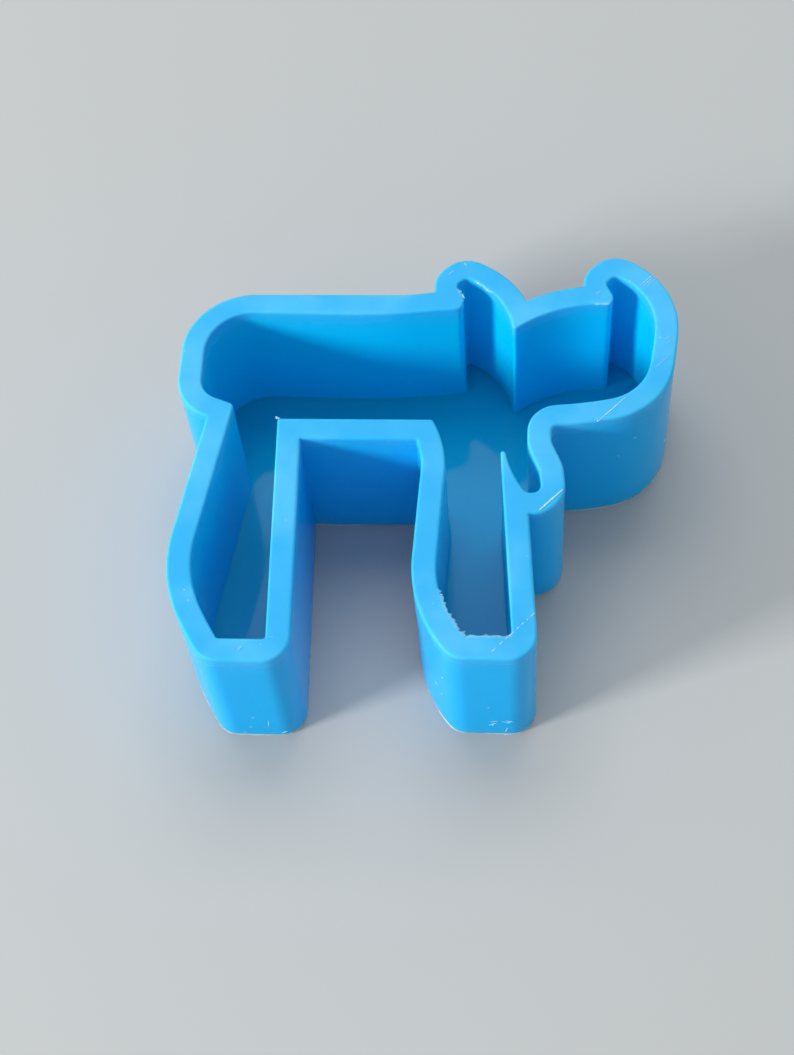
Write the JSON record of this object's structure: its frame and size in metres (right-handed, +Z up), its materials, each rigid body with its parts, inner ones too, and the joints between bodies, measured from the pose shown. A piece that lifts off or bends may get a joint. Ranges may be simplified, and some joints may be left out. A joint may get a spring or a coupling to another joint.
{
  "type": "resin casting mould",
  "caption": "Open one-piece silicone mould with a flat floor and an even upright wall round a decorative cavity, for casting resin.",
  "frame": {"origin": "on the table, under the middle of the outline's bounding box", "axes": "+X to the right along the longest extent, +Y to the back, where the two horns are, +Z up out of the open cavity"},
  "size_m": [0.107, 0.0986, 0.038],
  "materials": {
    "silicone": "satin rim, glossy cavity floor, slightly translucent"
  },
  "bodies": {
    "root": {"arch_wall": "silicone", "back_wall": "silicone", "base_slab": "silicone", "belly_corner_wall": "silicone", "belly_side_wall": "silicone", "left_foot_wall": "silicone", "left_horn_flank_wall": "silicone", "left_horn_wall": "silicone", "left_leg_inner_wall": "silicone", "left_shin_wall": "silicone", "left_thigh_wall": "silicone", "right_foot_wall": "silicone", "right_horn_flank_wall": "silicone", "right_leg_inner_wall": "silicone", "right_leg_outer_wall": "silicone", "right_shin_wall": "silicone", "saddle_wall": "silicone", "shoulder_corner_wall": "silicone", "shoulder_wall": "silicone", "spike_wall": "silicone", "tail_wall": "silicone", "throat_wall": "silicone"}
  },
  "joints": []
}
